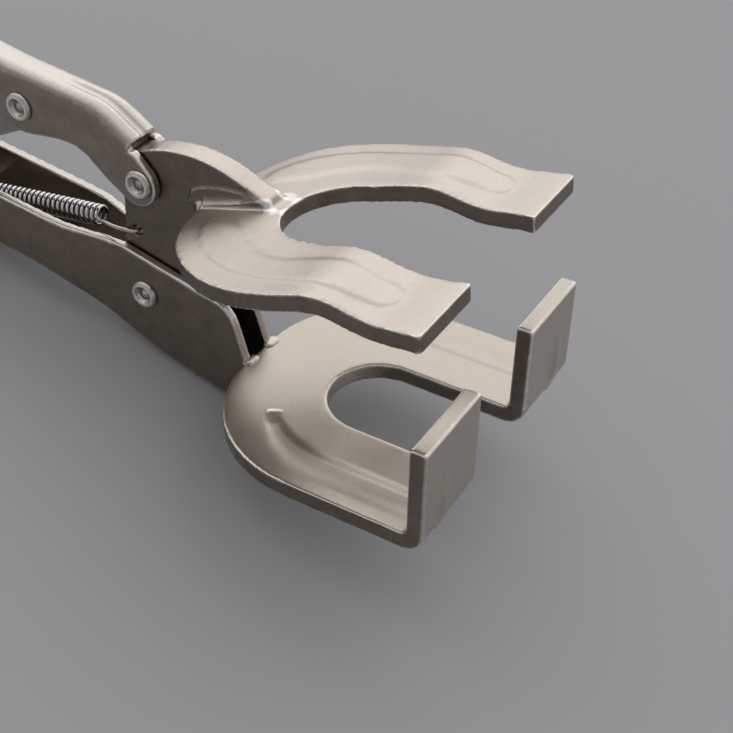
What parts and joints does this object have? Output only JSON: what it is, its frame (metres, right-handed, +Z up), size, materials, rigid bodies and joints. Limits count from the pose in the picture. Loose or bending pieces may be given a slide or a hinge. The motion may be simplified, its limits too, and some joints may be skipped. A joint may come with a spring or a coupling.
{
  "type": "welding locking pliers",
  "caption": "Locking pliers with two forked jaws, for holding flat parts in line while they are welded: sheet-metal handles, toggle link, adjusting screw and release lever.",
  "frame": {"origin": "centre of the bounding box, on the ground that the handle stands on", "axes": "+X from the handles to the jaws, +Z up from the ground, +Y across the jaws"},
  "size_m": [0.232, 0.0756, 0.0832],
  "materials": {
    "nickel_plate": "satin nickel plate, slightly warm, polished on bends and edges",
    "weld": "small bright weld beads under the plating",
    "rivet": "polished rolled rivet heads",
    "spring_wire": "bright drawn spring wire",
    "link_steel": "satin plated flat steel",
    "screw_steel": "bright plated turned steel"
  },
  "bodies": {
    "root": {"fixed_handle": "nickel_plate", "fixed_jaw": "nickel_plate", "weld_beads": "weld", "jaw_pivot_rivet": "rivet", "spring_anchor": "rivet", "tension_spring": "spring_wire"},
    "moving_jaw": {"moving_jaw": "nickel_plate"},
    "lever": {"lever_handle": "nickel_plate", "lever_pivot_rivet": "rivet", "link_rivet": "rivet", "release_rivet": "rivet"},
    "toggle_link": {"toggle_link": "link_steel"},
    "release_lever": {"release_lever": "link_steel"},
    "adjusting_screw": {"adjusting_screw": "screw_steel"},
    "screw_knob": {"screw_knob": "screw_steel"}
  },
  "joints": [
    {"name": "jaw_pivot", "type": "hinge", "parent": "root", "child": "moving_jaw", "pos_m": [0.01742, 0, 0.018], "axis": [0, 1, 0], "range_deg": [-6, 11], "stiffness_Nm_per_rad": 0.3, "springref_deg": -11.46, "deforming": ["tension_spring"]},
    {"name": "lever_pivot", "type": "hinge", "parent": "moving_jaw", "child": "lever", "pos_m": [0.01092, 0, 0.05], "axis": [0, 1, 0], "range_deg": [-25, 14]},
    {"name": "link_pivot", "type": "hinge", "parent": "lever", "child": "toggle_link", "pos_m": [-0.02707, 0, 0.05113], "axis": [0, 1, 0], "range_deg": [-13, 23]},
    {"name": "release_pivot", "type": "hinge", "parent": "lever", "child": "release_lever", "pos_m": [-0.05323, 0, 0.05292], "axis": [0, 1, 0], "range_deg": [0, 8]},
    {"name": "screw_travel", "type": "slide", "parent": "root", "child": "adjusting_screw", "axis": [-0.9994, 0, -0.0349], "range_m": [0, 0.01]},
    {"name": "knob_turn", "type": "hinge", "parent": "adjusting_screw", "child": "screw_knob", "pos_m": [-0.09978, 0, 0.0105], "axis": [-0.9994, 0, -0.0349], "range_deg": [0, 2881]}
  ],
  "couplings": [
    {"joint": "lever_pivot", "follows": "jaw_pivot", "ratio": -2.1781},
    {"joint": "link_pivot", "follows": "jaw_pivot", "ratio": 2.0504},
    {"joint": "knob_turn", "follows": "screw_travel", "rad_per_m": 5026.5}
  ]
}
